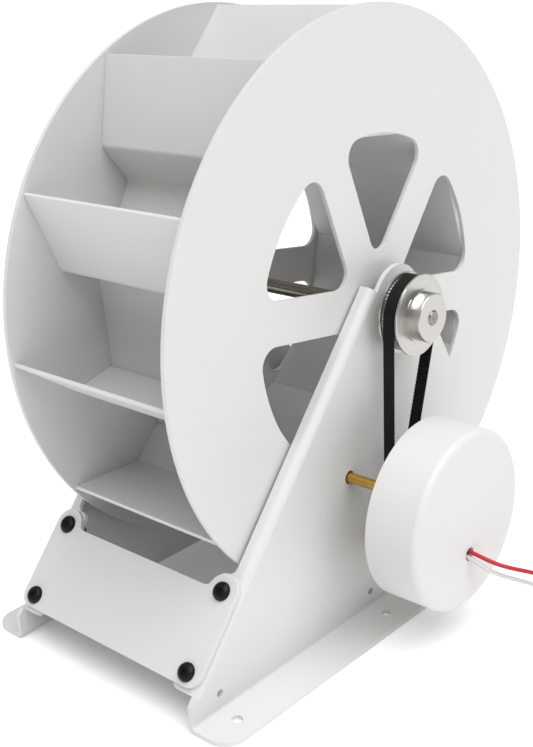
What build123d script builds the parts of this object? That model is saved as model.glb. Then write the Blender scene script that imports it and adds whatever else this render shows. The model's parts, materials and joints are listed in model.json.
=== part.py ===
from build123d import *
import math
import os

os.makedirs("parts", exist_ok=True)

# Bucket water wheel with a belt-driven generator, in millimetres.
# +Z is up, the wheel's shaft lies along Y, the pulley side is -Y and the splash plate faces -X.
# The origin is on the floor, at the centre of the four outer foot bolts.

# ---------- wheel
wheel_d = 300.0            # outside diameter of the two side discs
wheel_w = 112.0            # over the outer faces of the side discs
disc_t = 2.5               # side disc sheet
floor_gap = 19.0           # wheel's rim above the floor
shaft_d = 8.0
window_r = 88.0            # outer arc of a side disc's windows
window_count = 6
window_start = 83.0        # angle of the first window's middle line, degrees from +X
spoke_w = 22.0             # width of the metal left between two windows
window_tip_r = 7.5         # rounding at a window's inner end
window_corner_r = 9.0      # rounding at its two outer corners

# ---------- buckets
bucket_count = 11
bucket_t = 2.0             # bucket sheet
bucket_start = 87.1        # angle of the first bucket's lip
lip_inset = 1.2            # lip below the disc's rim
fold_r = 117.0             # first bend of a bucket, from the shaft
fold_lag = 14.0            # degrees round from the lip
sole_r = 92.0              # second bend, where the sole starts
sole_lag = 15.5            # degrees round from the lip
bend_r = 3.0               # middle-line radius of the bucket's bends
sole_over = 0.2            # a sole's end past the next bucket's bend corner, to close the seam

# ---------- hubs on the shaft
hub_flange_d = 36.0
hub_flange_t = 3.0
hub_boss_d = 22.0
hub_boss_len = 14.0
hub_bolt_pcd = 27.0
hub_bolt_count = 4
hub_bolt_d = 3.0
hub_bolt_head_d = 5.5
hub_bolt_head_h = 1.2
set_screw_d = 4.0
set_screw_sink = 0.5       # set screws end this far under the surface
set_screw_key_r = 1.0
set_screw_key_deep = 1.5
hub_screw_in = 5.0         # set screw from the boss's end
disc_bore_gap = 0.2
bolt_gap = 0.2

# ---------- side brackets
bracket_t = 2.5
side_gap = 7.0             # between a side disc and its bracket's web
bracket_bend_r = 2.0       # inside radius of the bracket's bends
slope_deg = 50.0           # front edge of the web, above the floor
rear_slope_deg = 58.0      # rear edge of the web
slope_dist = 19.5          # flange's outer face from the shaft axis, square to the slope
rear_slope_dist = 27.0
flange_gap = 1.6           # free edge of the sloped flanges outside the side disc
flange_top_gap = 2.0       # flange stops this far past the line square to the shaft
head_r = 19.0              # rounding of the web over the shaft
web_nose = 9.5             # height of the web's upright front edge above the foot's bend
web_rear = 84.0            # rear edge of the web, from the shaft
foot_w = 22.5              # foot flange outside the web's outer face
foot_corner_r = 12.0
foot_hole_d = 5.5
foot_hole_out = 10.5       # foot hole from the web's outer face
front_hole_in = 19.5       # front foot hole from the web's front edge
rear_hole_in = 22.0        # rear foot hole from the web's rear edge
middle_hole_x = -16.0      # middle foot hole from the shaft
side_hole_d = 4.2
side_hole_z = 12.0

# ---------- splash plate between the brackets
plate_t = 2.5
plate_side_in = 0.3        # plate's side edges inside the brackets' outer faces
plate_high_out = 14.0      # upper edge along the slope, outside the wheel's rim
plate_low_out = 61.0       # lower edge along the slope, outside the wheel's rim
plate_corner_r = 7.0
screw_side_in = 4.5        # plate's screws inside the start of the brackets' bends
screw_low_in = 6.5         # lower screws from the plate's lower edge
tab_past_screw = 7.0       # the tab's free edge past the screws
tab_high_out = 5.0         # tab's upper end along the slope, outside the wheel's rim
tab_low_out = 63.5         # its lower end
tab_fillet_r = 4.0
tab_corner_r = 3.5
plate_fillet_r = 4.0       # between the plate's upper edge and its ears
plate_screw_d = 5.0
plate_hole_d = 5.4
plate_screw_head_d = 9.5
plate_screw_head_h = 2.75
plate_screw_len = 12.0
hex_key = 3.0
plate_nut_af = 8.0
plate_nut_t = 4.0

# ---------- shaft bushes
running_fit = 0.05         # radial clearance of the shafts in their bushes
thread_gap = 0.05
end_float = 0.3            # axial clearance between turning and fixed pieces
bush_d = 12.0
bush_flange_d = 18.0
bush_flange_t = 1.6
bush_inner_len = 2.0       # bush inside the web's inner face
spacer_d = 11.0
collar_d = 18.0
collar_len = 8.0
shaft_chamfer = 0.6
edge_break = 0.5           # chamfer of the turned pieces; half of it on the pulleys' flanges
shaft_proud = 0.7          # shaft end beyond the pulley's hub
shaft_far_proud = 2.0      # shaft end beyond the far collar

# ---------- belt drive
tooth_pitch = 2.032
big_teeth = 60
small_teeth = 18
belt_w = 6.4
belt_back_t = 0.63         # belt without its teeth
belt_teeth = 137           # with the pulleys, this sets how far apart the shafts are
pitch_line = 0.25          # belt's pitch line outside a pulley's tooth tips
mesh_gap = 0.2             # belt's inner face outside the tooth tips
tooth_slack = 0.06         # belt tooth inside its groove, all round
tooth_free = 7.0           # belt teeth start this far from where the belt meets a pulley
groove_r = 0.5
groove_set = 0.02          # groove centres below the tooth tips
tooth_zone = 8.6           # between a pulley's flanges
pulley_flange_t = 1.3
big_flange_d = 42.0
small_flange_d = 15.0
belt_out = 13.8            # middle of the belt outside the web's outer face
big_hub_d = 25.0
big_hub_len = 7.4
hub_step_d = 27.0
hub_step_len = 0.9
small_hub_d = 11.0
small_hub_len = 5.0
small_screw_d = 3.0

# ---------- generator
gen_x = -12.0              # generator axis from the shaft axis; the belt sets its height
gen_d = 95.0
gen_out = 28.5             # open rear rim of the housing outside the web's outer face
gen_len = 30.0
gen_wall = 3.0
gen_round_r = 3.5
back_plate_t = 3.0
back_plate_inset = 0.5
lead_hole_d = 7.0
lead_hole_side = 1.1
lead_hole_drop = 18.9
rotor_shaft_d = 5.0
bearing_d = 14.0
bearing_w = 5.0
bearing_ring_t = 1.2
ball_d = 1.9
ball_count = 8
bearing_boss_d = 20.0
bearing_boss_h = 2.0
standoff_d = 5.5
standoff_hole_d = 7.2
standoff_pcd = 54.4
standoff_start = 144.0
standoff_count = 3
ring_plate_t = 1.5
ring_plate_w = 14.0
stud_d = 3.0               # threaded ends of the standoffs
ring_screw_head_d = 5.5
ring_screw_head_h = 1.65
ring_screw_len = 8.0
rotor_od = 80.0
rotor_wall = 2.2
rotor_web_t = 2.0
rotor_gap = 1.2            # rotor's web from the back plate
rotor_len = 16.0
rotor_hub_d = 12.0
rotor_hub_len = 2.2
rotor_vent_d = 8.0
magnet_inset = 0.8
magnet_space = 3.0
magnet_count = 12
magnet_t = 2.5
air_gap = 0.8
stator_teeth = 9
stator_len = 10.0
stator_gap = 2.6           # stator core from the rotor's web
stator_bore_d = 18.0
stator_ring_t = 5.0
tooth_w = 5.0
slot_w = 3.0
tooth_tip_t = 2.0
coil_t = 2.0
coil_in_r = 16.0
coil_out_r = 31.5
coil_end = 2.0
post_flange_d = 30.0
post_flange_t = 2.0
post_bore_d = 8.0

# ---------- leads: points along each lead's route, chosen by hand for the hole at lead_home
lead_d = 2.2
lead_home = (26.1, -124.0, 52.2)
lead_rest_z = 1.4          # a lead's middle line where it lies on the floor
lead_straight_z = 3.5      # the start of a route, down to here under the hole, moves as it is
red_route = [
    (26.3, -120.5, 53.9), (26.1, -129.5, 53.0), (28.0, -137.5, 50.6), (32.5, -144.0, 48.2),
    (39.5, -149.5, 45.2), (48.5, -155.0, 40.5), (57.5, -162.0, 31.5), (64.5, -170.0, 19.5),
    (70.5, -179.0, 8.0), (79.0, -188.0, 1.6), (91.5, -193.5, 1.4), (104.5, -191.0, 1.5),
    (113.5, -181.5, 1.4), (115.0, -168.5, 1.5), (108.0, -157.0, 1.4), (96.0, -150.5, 1.5),
    (83.0, -148.5, 1.4),
]
white_route = [
    (24.8, -120.5, 51.6), (24.7, -127.5, 50.2), (25.8, -134.0, 47.2), (30.0, -140.0, 43.8),
    (36.5, -145.5, 40.4), (44.5, -150.5, 36.0), (52.5, -156.5, 28.5), (59.0, -163.5, 18.5),
    (65.0, -171.5, 8.5), (73.5, -179.5, 1.8), (86.0, -184.0, 1.4), (97.5, -180.5, 1.5),
    (103.0, -170.5, 1.4), (98.5, -161.0, 1.5), (87.5, -158.5, 1.4), (75.5, -158.0, 1.5),
]

# ---------- sizes that follow from the ones above
wheel_r = wheel_d / 2
disc_out = wheel_w / 2
disc_in = disc_out - disc_t
web_in = disc_out + side_gap
web_y = web_in + bracket_t
flange_end_y = disc_out + flange_gap
shaft_h = wheel_r + floor_gap
bend_out_r = bracket_bend_r + bracket_t
foot_edge_y = web_y + foot_w
lip_r = wheel_r - lip_inset
bucket_step = 360 / bucket_count
plate_w = 2 * (web_y - plate_side_in)
plate_high = -wheel_r - plate_high_out
plate_low = -wheel_r - plate_low_out
screw_y = web_in - bracket_bend_r - screw_side_in
screw_high = plate_high
screw_low = plate_low + screw_low_in
tab_inner_y = screw_y - tab_past_screw
tab_high = -wheel_r - tab_high_out
tab_low = -wheel_r - tab_low_out
pulley_y = web_y + belt_out
gen_rear_y = web_y + gen_out
gen_front_y = gen_rear_y + gen_len
big_pitch_r = big_teeth * tooth_pitch / (2 * math.pi)
small_pitch_r = small_teeth * tooth_pitch / (2 * math.pi)
pulley_len = tooth_zone + 2 * pulley_flange_t
pulley_in = pulley_y - pulley_len / 2
pulley_out = pulley_y + pulley_len / 2
shaft_near_y = pulley_out + big_hub_len + shaft_proud
bush_end = web_in - bush_inner_len
bush_face = web_y + bush_flange_t
collar_y = bush_face + end_float
shaft_far_y = collar_y + collar_len + shaft_far_proud
belt_spare = belt_teeth * tooth_pitch - math.pi * (big_pitch_r + small_pitch_r)
centre_gap = (belt_spare + math.sqrt(belt_spare**2 - 8 * (big_pitch_r - small_pitch_r) ** 2)) / 4
gen_z = -math.sqrt(centre_gap**2 - gen_x**2)
gen_r = gen_d / 2
back_plate_out = gen_rear_y + back_plate_inset
back_plate_in = back_plate_out + back_plate_t
gen_inner_face = gen_front_y - gen_wall
rotor_y = back_plate_in + rotor_gap
stator_r = rotor_od / 2 - rotor_wall - magnet_t - air_gap
stator_y = rotor_y + rotor_web_t + stator_gap
rotor_shaft_start = pulley_in - 2.0
rotor_shaft_end = gen_inner_face - 1.0


def polar(radius, degrees):
    angle = math.radians(degrees)
    return (radius * math.cos(angle), radius * math.sin(angle))


front_dir = Vector(*polar(1, slope_deg))                  # up the front slope, in X and Z
front_out = Vector(*polar(1, slope_deg + 90))             # out of the front slope
rear_out = Vector(*polar(1, 90 - rear_slope_deg))         # out of the rear slope
front_web = slope_dist - bend_out_r                       # the flat of the web ends here
web_low = bend_out_r - shaft_h
web_front = round((slope_dist - front_out.Y * (web_low + web_nose)) / front_out.X, 1)
foot_holes_x = (web_front + front_hole_in, middle_hole_x, web_rear - rear_hole_in)
side_holes_x = foot_holes_x[:2]
shaft_x = -(foot_holes_x[0] + foot_holes_x[2]) / 2       # the origin is midway between the outer bolts


def across(y, x=shaft_x, z=shaft_h):
    """Plane across the shaft at y: its x runs along +X, its y along +Z, it faces -Y."""
    return Plane(origin=(x, y, z), x_dir=(1, 0, 0), z_dir=(0, -1, 0))


def save(builder, name):
    builder.part.label = name
    export_step(builder.part, f"parts/{name}.step")


# ---------- side discs
with BuildSketch() as window:
    tip = spoke_w / 2 / math.sin(math.radians(180 / window_count))
    reach = math.radians(180 / window_count) - math.asin(spoke_w / 2 / window_r)
    corner = (window_r * math.cos(reach), window_r * math.sin(reach))
    with BuildLine():
        Line((tip, 0), (corner[0], -corner[1]))
        ThreePointArc((corner[0], -corner[1]), (window_r, 0), corner)
        Line(corner, (tip, 0))
    make_face()
    fillet(window.vertices().group_by(Axis.X)[0], window_tip_r)
    fillet(window.vertices().group_by(Axis.X)[-1], window_corner_r)


def side_disc(y):
    """One side disc, its near face at -y."""
    with BuildPart() as disc:
        with BuildSketch(across(y)):
            Circle(wheel_r)
            Circle(shaft_d / 2 + disc_bore_gap, mode=Mode.SUBTRACT)
            with PolarLocations(0, window_count, start_angle=window_start):
                add(window.sketch, mode=Mode.SUBTRACT)
            with PolarLocations(hub_bolt_pcd / 2, hub_bolt_count, start_angle=45):
                Circle(hub_bolt_d / 2 + bolt_gap, mode=Mode.SUBTRACT)
        extrude(amount=disc_t)
    return disc


save(side_disc(-disc_in), "near_disc")
save(side_disc(disc_out), "far_disc")

# ---------- buckets: one folded sheet from a lip, round two bends, to the next bucket
sole_chord = 2 * sole_r * math.sin(math.radians(bucket_step / 2))
for index in range(bucket_count):
    lip = bucket_start + index * bucket_step
    start = Vector(*polar(sole_r, lip + sole_lag))
    end = Vector(*polar(sole_r, lip + sole_lag + bucket_step))
    sole_end = start + (end - start) * ((sole_chord + sole_over) / sole_chord)
    with BuildPart() as bucket:
        with BuildSketch(across(disc_in)):
            with BuildLine():
                FilletPolyline(
                    polar(lip_r, lip),
                    polar(fold_r, lip + fold_lag),
                    polar(sole_r, lip + sole_lag),
                    (sole_end.X, sole_end.Y),
                    radius=bend_r,
                )
                offset(amount=bucket_t, side=Side.RIGHT)
            make_face()
        extrude(amount=2 * disc_in)
    save(bucket, f"bucket_{index + 1:02d}")

# ---------- hubs: a flange inside each disc, a boss on the shaft and a set screw
for side, name in ((-1, "near"), (1, "far")):
    flange_plane = across(side * disc_in)
    inward = side * 1.0
    with BuildPart() as hub:
        with BuildSketch(flange_plane):
            Circle(hub_flange_d / 2)
            Circle(shaft_d / 2, mode=Mode.SUBTRACT)
            with PolarLocations(hub_bolt_pcd / 2, hub_bolt_count, start_angle=45):
                Circle(hub_bolt_d / 2, mode=Mode.SUBTRACT)
        extrude(amount=inward * hub_flange_t)
        with BuildSketch(flange_plane):
            Circle(hub_boss_d / 2)
            Circle(shaft_d / 2, mode=Mode.SUBTRACT)
        extrude(amount=inward * hub_boss_len)
        set_y = side * (disc_in - hub_boss_len + hub_screw_in)
        with BuildSketch(Plane.XY.offset(shaft_h)):
            with Locations((shaft_x, set_y)):
                Circle(set_screw_d / 2)
        extrude(amount=hub_boss_d, mode=Mode.SUBTRACT)
    save(hub, f"{name}_hub")
    with BuildPart() as set_screw:
        with BuildSketch(Plane.XY.offset(shaft_h + shaft_d / 2)):
            with Locations((shaft_x, set_y)):
                Circle(set_screw_d / 2)
        extrude(amount=hub_boss_d / 2 - shaft_d / 2 - set_screw_sink)
        with BuildSketch(Plane.XY.offset(shaft_h + hub_boss_d / 2 - 2)):
            with Locations((shaft_x, set_y)):
                RegularPolygon(set_screw_key_r, 6)
        extrude(amount=3, mode=Mode.SUBTRACT)
    save(set_screw, f"{name}_hub_set_screw")
    with BuildPart() as bolts:
        with BuildSketch(across(side * disc_out)):
            with PolarLocations(hub_bolt_pcd / 2, hub_bolt_count, start_angle=45):
                Circle(hub_bolt_head_d / 2)
        extrude(amount=-side * hub_bolt_head_h)
        fillet(bolts.edges().group_by(Axis.Y)[0 if side < 0 else -1], hub_bolt_head_h / 3)
        with BuildSketch(across(side * disc_out)):
            with PolarLocations(hub_bolt_pcd / 2, hub_bolt_count, start_angle=45):
                Circle(hub_bolt_d / 2)
        extrude(amount=side * (disc_t + hub_flange_t))
        with BuildSketch(across(side * (disc_out + hub_bolt_head_h))):
            with PolarLocations(hub_bolt_pcd / 2, hub_bolt_count, start_angle=45):
                RegularPolygon(hub_bolt_d / 3, 6)
        extrude(amount=side * hub_bolt_head_h * 0.7, mode=Mode.SUBTRACT)
    save(bolts, f"{name}_hub_bolts")

# ---------- shaft
with BuildPart() as shaft:
    with BuildSketch(across(shaft_far_y)):
        Circle(shaft_d / 2)
    extrude(amount=shaft_far_y + shaft_near_y)
    chamfer(shaft.edges().filter_by(GeomType.CIRCLE), shaft_chamfer)
    with BuildSketch(across(-shaft_near_y)):
        Circle(0.9)
    extrude(amount=-1.2, taper=25, mode=Mode.SUBTRACT)
save(shaft, "wheel_shaft")

# ---------- side brackets

def on_slope(distance, along):
    """A point in X and Z from the shaft: out of the front slope and up along it."""
    point = front_out * distance + front_dir * along
    return (point.X, point.Y)


def slope_plane(distance, along, y):
    """Plane on the front slope: its x runs up the slope, its y along +Y, it faces out."""
    x, z = on_slope(distance, along)
    return Plane(
        origin=(shaft_x + x, y, shaft_h + z),
        x_dir=(front_dir.X, 0, front_dir.Y),
        z_dir=(front_out.X, 0, front_out.Y),
    )


def head_centre():
    """Centre of the web's round head, tangent to both of its sloped edges."""
    low = front_web - head_r
    high = rear_slope_dist - head_r
    cross = front_out.X * rear_out.Y - rear_out.X * front_out.Y
    x = (low * rear_out.Y - high * front_out.Y) / cross
    return Vector(x, (low - front_out.X * x) / front_out.Y)


def quarter_bend():
    """Section of a bend, from the sheet's face at x = 0 round to the flange's face at y = 0."""
    centre = (bend_out_r, -bend_out_r)
    with BuildSketch() as section:
        with BuildLine():
            CenterArc(centre, bend_out_r, 90, 90)
            Line((0, -bend_out_r), (bracket_t, -bend_out_r))
            CenterArc(centre, bracket_bend_r, 90, 90)
            Line((bend_out_r, -bracket_t), (bend_out_r, 0))
        make_face()
    return section.sketch


head = head_centre()
front_touch = head + front_out * head_r
rear_touch = head + rear_out * head_r
head_top = head + Vector(0, head_r)
generator_studs = [
    Vector(gen_x, gen_z) + Vector(*polar(standoff_pcd / 2, standoff_start + 360 / standoff_count * k))
    for k in range(standoff_count)
]

with BuildPart() as bracket:
    # the flat web, with its shaft bush hole and side holes
    with BuildSketch(across(-web_in)):
        with BuildLine():
            Polyline(
                (front_touch.X, front_touch.Y),
                on_slope(front_web, tab_low),
                on_slope(slope_dist, tab_low),
                (web_front, (slope_dist - front_out.X * web_front) / front_out.Y),
                (web_front, web_low),
                (web_rear, web_low),
                (web_rear, (rear_slope_dist - rear_out.X * web_rear) / rear_out.Y),
                (rear_touch.X, rear_touch.Y),
            )
            ThreePointArc(
                (rear_touch.X, rear_touch.Y), (head_top.X, head_top.Y), (front_touch.X, front_touch.Y)
            )
        make_face()
        Circle(bush_d / 2, mode=Mode.SUBTRACT)
        with Locations([(x, side_hole_z - shaft_h) for x in side_holes_x]):
            Circle(side_hole_d / 2, mode=Mode.SUBTRACT)
    extrude(amount=bracket_t)
    # the bend along the front slope
    start_x, start_z = on_slope(slope_dist, tab_low)
    with BuildSketch(
        Plane(
            origin=(shaft_x + start_x, -web_y, shaft_h + start_z),
            x_dir=(0, 1, 0),
            z_dir=(front_dir.X, 0, front_dir.Y),
        )
    ):
        add(quarter_bend())
    extrude(amount=flange_top_gap - tab_low)
    # the flange on the slope, wider at its lower end where the splash plate is screwed on
    with BuildSketch(slope_plane(slope_dist, 0, 0)) as flange:
        with BuildLine():
            Polyline(
                (tab_low, -web_y + bend_out_r),
                (flange_top_gap, -web_y + bend_out_r),
                (flange_top_gap, -flange_end_y),
                (tab_high, -flange_end_y),
                (tab_high, -tab_inner_y),
                (tab_low, -tab_inner_y),
                close=True,
            )
        make_face()
        inner = flange.vertices().filter_by_position(Axis.X, tab_high - 1, tab_high + 1)
        fillet(inner.sort_by(Axis.Y)[0], tab_fillet_r)
        fillet(flange.vertices().sort_by(Axis.Y)[-2:], tab_corner_r)
        with Locations((screw_low, -screw_y), (screw_high, -screw_y)):
            Circle(plate_hole_d / 2, mode=Mode.SUBTRACT)
    extrude(amount=-bracket_t)
    # the foot: a bend outwards and a flange on the floor
    with BuildSketch(
        Plane(origin=(shaft_x + web_front, -web_in, 0), x_dir=(0, -1, 0), z_dir=(1, 0, 0))
    ):
        add(quarter_bend())
    extrude(amount=web_rear - web_front)
    with BuildSketch(Plane.XY):
        with BuildLine():
            Polyline(
                (shaft_x + web_front, -web_in - bend_out_r),
                (shaft_x + web_rear, -web_in - bend_out_r),
                (shaft_x + web_rear, -foot_edge_y),
                (shaft_x + web_front, -foot_edge_y),
                close=True,
            )
        make_face()
    extrude(amount=bracket_t)
    outer_corners = bracket.edges().filter_by(Axis.Z).group_by(Axis.Y)[0]
    fillet(outer_corners, foot_corner_r)
    with BuildSketch(Plane.XY):
        with Locations([(shaft_x + x, -web_y - foot_hole_out) for x in foot_holes_x]):
            Circle(foot_hole_d / 2)
    extrude(amount=bracket_t, mode=Mode.SUBTRACT)

with BuildPart() as near_bracket:
    add(bracket.part)
    with BuildSketch(across(-web_in)):
        with Locations([(stud.X, stud.Y) for stud in generator_studs]):
            Circle(standoff_hole_d / 2)
    extrude(amount=bracket_t, mode=Mode.SUBTRACT)
save(near_bracket, "near_bracket")

with BuildPart() as far_bracket:
    mirror(bracket.part, about=Plane.XZ)
save(far_bracket, "far_bracket")

# ---------- splash plate, its screws and their nuts
screw_points = [(along, side * screw_y) for along in (screw_low, screw_high) for side in (-1, 1)]
plate_face = slope_dist + plate_t
with BuildPart() as splash_plate:
    with BuildSketch(slope_plane(plate_face, 0, 0)) as plate_outline:
        with BuildLine():
            Polyline(
                (plate_low, -plate_w / 2),
                (plate_high, -plate_w / 2),
                (plate_high, plate_w / 2),
                (plate_low, plate_w / 2),
                close=True,
            )
        make_face()
        with Locations((plate_high, -screw_y), (plate_high, screw_y)):
            Circle(plate_w / 2 - screw_y)
        upper = plate_outline.vertices().filter_by_position(Axis.X, plate_high - 0.1, plate_high + 0.1)
        fillet(upper.sort_by(Axis.Y)[1:-1], plate_fillet_r)
    extrude(amount=-plate_t)
    slope_axis = Axis(origin=(0, 0, 0), direction=(front_out.X, 0, front_out.Y))
    low_corners = splash_plate.edges().filter_by(slope_axis)
    fillet(low_corners.group_by(Axis.Z)[0], plate_corner_r)
    with BuildSketch(slope_plane(plate_face, 0, 0)):
        with Locations(screw_points):
            Circle(plate_hole_d / 2)
    extrude(amount=-plate_t, mode=Mode.SUBTRACT)
save(splash_plate, "splash_plate")

with BuildPart() as plate_screws:
    with BuildSketch(slope_plane(plate_face, 0, 0)):
        with Locations(screw_points):
            Circle(plate_screw_head_d / 2)
    extrude(amount=plate_screw_head_h)
    fillet(plate_screws.edges().group_by(slope_axis)[-1], plate_screw_head_h * 0.72)
    with BuildSketch(slope_plane(plate_face, 0, 0)):
        with Locations(screw_points):
            Circle(plate_screw_d / 2)
    extrude(amount=-plate_screw_len)
    with BuildSketch(slope_plane(plate_face + plate_screw_head_h, 0, 0)):
        with Locations(screw_points):
            RegularPolygon(hex_key / 2, 6, major_radius=False)
    extrude(amount=-plate_screw_head_h * 0.7, mode=Mode.SUBTRACT)
save(plate_screws, "splash_plate_screws")

with BuildPart() as plate_nuts:
    with BuildSketch(slope_plane(slope_dist - bracket_t, 0, 0)):
        with Locations(screw_points):
            RegularPolygon(plate_nut_af / 2, 6, major_radius=False, rotation=30)
            Circle(plate_screw_d / 2 + thread_gap, mode=Mode.SUBTRACT)
    extrude(amount=-plate_nut_t)
save(plate_nuts, "splash_plate_nuts")

# ---------- bushes, spacers and the collar on the shaft
for side, name in ((-1, "near"), (1, "far")):
    with BuildPart() as bush:
        with BuildSketch(across(side * bush_end)):
            Circle(bush_d / 2)
            Circle(shaft_d / 2 + running_fit, mode=Mode.SUBTRACT)
        extrude(amount=-side * (web_y - bush_end))
        with BuildSketch(across(side * web_y)):
            Circle(bush_flange_d / 2)
            Circle(shaft_d / 2 + running_fit, mode=Mode.SUBTRACT)
        extrude(amount=-side * bush_flange_t)
    save(bush, f"{name}_shaft_bush")
    with BuildPart() as spacer:
        with BuildSketch(across(side * disc_out)):
            Circle(spacer_d / 2)
            Circle(shaft_d / 2, mode=Mode.SUBTRACT)
        extrude(amount=-side * (bush_end - end_float - disc_out))
    save(spacer, f"{name}_wheel_spacer")

with BuildPart() as pulley_spacer:
    with BuildSketch(across(-bush_face - end_float)):
        Circle(spacer_d / 2)
        Circle(shaft_d / 2, mode=Mode.SUBTRACT)
    extrude(amount=pulley_in - bush_face - end_float)
save(pulley_spacer, "pulley_spacer")

with BuildPart() as collar:
    with BuildSketch(across(collar_y + collar_len)):
        Circle(collar_d / 2)
        Circle(shaft_d / 2, mode=Mode.SUBTRACT)
    extrude(amount=collar_len)
    chamfer(collar.edges().filter_by(GeomType.CIRCLE).sort_by(SortBy.RADIUS)[-2:], edge_break)
    with BuildSketch(Plane.XY.offset(shaft_h)):
        with Locations((shaft_x, collar_y + collar_len / 2)):
            Circle(set_screw_d / 2)
    extrude(amount=collar_d, mode=Mode.SUBTRACT)
save(collar, "shaft_collar")

with BuildPart() as collar_screw:
    with BuildSketch(Plane.XY.offset(shaft_h + shaft_d / 2)):
        with Locations((shaft_x, collar_y + collar_len / 2)):
            Circle(set_screw_d / 2)
    extrude(amount=collar_d / 2 - shaft_d / 2 - 0.5)
    with BuildSketch(Plane.XY.offset(shaft_h + collar_d / 2 - 2)):
        with Locations((shaft_x, collar_y + collar_len / 2)):
            RegularPolygon(set_screw_key_r, 6)
    extrude(amount=3, mode=Mode.SUBTRACT)
save(collar_screw, "shaft_collar_screw")

# ---------- toothed pulleys
big_tip_r = big_pitch_r - pitch_line
small_tip_r = small_pitch_r - pitch_line


def toothed_pulley(centre, tip_r, teeth, turn, flange_d):
    """Toothed drum between two flanges; turn is the angle of one groove."""
    with BuildPart() as pulley:
        with BuildSketch(across(-pulley_in, *centre)):
            Circle(flange_d / 2)
        extrude(amount=pulley_flange_t)
        with BuildSketch(across(-pulley_in - pulley_flange_t, *centre)):
            Circle(tip_r)
            with PolarLocations(tip_r - groove_set, teeth, start_angle=turn):
                Circle(groove_r, mode=Mode.SUBTRACT)
        extrude(amount=tooth_zone)
        with BuildSketch(across(-pulley_out + pulley_flange_t, *centre)):
            Circle(flange_d / 2)
        extrude(amount=pulley_flange_t)
        chamfer(pulley.edges().filter_by(GeomType.CIRCLE).sort_by(SortBy.RADIUS)[-4:], edge_break / 2)
    return pulley.part


big_centre = (shaft_x, shaft_h)
line_angle = math.degrees(math.atan2(gen_z, gen_x))       # from the big pulley to the small one
with BuildPart() as drive_pulley:
    add(toothed_pulley(big_centre, big_tip_r, big_teeth, line_angle + 180, big_flange_d))
    with BuildSketch(across(-pulley_out)):
        Circle(hub_step_d / 2)
    extrude(amount=hub_step_len)
    with BuildSketch(across(-pulley_out)):
        Circle(big_hub_d / 2)
    extrude(amount=big_hub_len)
    chamfer(drive_pulley.edges().filter_by(GeomType.CIRCLE).sort_by(Axis.Y)[0], edge_break)
    with BuildSketch(across(-pulley_in)):
        Circle(shaft_d / 2)
    extrude(amount=pulley_len + big_hub_len, mode=Mode.SUBTRACT)
    set_screw_y = -pulley_out - big_hub_len / 2 - 0.2
    with BuildSketch(Plane(origin=(shaft_x, set_screw_y, shaft_h), x_dir=(1, 0, 0), z_dir=(0, 0, -1))):
        Circle(set_screw_d / 2)
    extrude(amount=big_hub_d, mode=Mode.SUBTRACT)
    with BuildSketch(Plane(origin=(shaft_x, set_screw_y, shaft_h), x_dir=(0, 1, 0), z_dir=(1, 0, 0))):
        Circle(set_screw_d / 2)
    extrude(amount=big_hub_d, mode=Mode.SUBTRACT)
save(drive_pulley, "drive_pulley")


# ---------- generator: housing, back plate and the brass standoffs that carry it
def gen_plane(y):
    return across(-y, shaft_x + gen_x, shaft_h + gen_z)


with BuildPart() as housing:
    with BuildSketch(gen_plane(gen_rear_y)):
        Circle(gen_r)
    extrude(amount=gen_front_y - gen_rear_y)
    fillet(housing.edges().group_by(Axis.Y)[0], gen_round_r)
    with BuildSketch(gen_plane(gen_rear_y)):
        Circle(gen_r - gen_wall)
    extrude(amount=gen_inner_face - gen_rear_y, mode=Mode.SUBTRACT)
    with BuildSketch(gen_plane(gen_inner_face)):
        with Locations((lead_hole_side, -lead_hole_drop)):
            Circle(lead_hole_d / 2)
    extrude(amount=gen_wall, mode=Mode.SUBTRACT)
save(housing, "generator_housing")

with BuildPart() as back_plate:
    with BuildSketch(gen_plane(back_plate_out)):
        Circle(gen_r - gen_wall)
    extrude(amount=back_plate_t)
    with BuildSketch(gen_plane(back_plate_out)):
        Circle(bearing_boss_d / 2)
    extrude(amount=-bearing_boss_h)
    with BuildSketch(gen_plane(back_plate_out - bearing_boss_h)):
        Circle(bearing_d / 2)
    extrude(amount=bearing_boss_h + back_plate_t, mode=Mode.SUBTRACT)
    with BuildSketch(gen_plane(back_plate_out)):
        with PolarLocations(standoff_pcd / 2, standoff_count, start_angle=standoff_start):
            Circle(stud_d / 2)
    extrude(amount=back_plate_t, mode=Mode.SUBTRACT)
save(back_plate, "generator_back_plate")

with BuildPart() as ring_plate:
    with BuildSketch(gen_plane(web_in)):
        Circle(standoff_pcd / 2 + ring_plate_w / 2)
        Circle(standoff_pcd / 2 - ring_plate_w / 2, mode=Mode.SUBTRACT)
        with PolarLocations(standoff_pcd / 2, standoff_count, start_angle=standoff_start):
            Circle(stud_d / 2 + bolt_gap, mode=Mode.SUBTRACT)
    extrude(amount=-ring_plate_t)
save(ring_plate, "standoff_ring")

with BuildPart() as standoffs:
    with BuildSketch(gen_plane(web_in)):
        with PolarLocations(standoff_pcd / 2, standoff_count, start_angle=standoff_start):
            Circle(standoff_d / 2)
    extrude(amount=back_plate_out - web_in)
    with BuildSketch(gen_plane(back_plate_out)):
        with PolarLocations(standoff_pcd / 2, standoff_count, start_angle=standoff_start):
            Circle(stud_d / 2)
    extrude(amount=back_plate_t)
    with BuildSketch(gen_plane(web_in)):
        with PolarLocations(standoff_pcd / 2, standoff_count, start_angle=standoff_start):
            Circle(stud_d / 2)
    extrude(amount=ring_screw_len, mode=Mode.SUBTRACT)
save(standoffs, "brass_standoffs")

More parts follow.
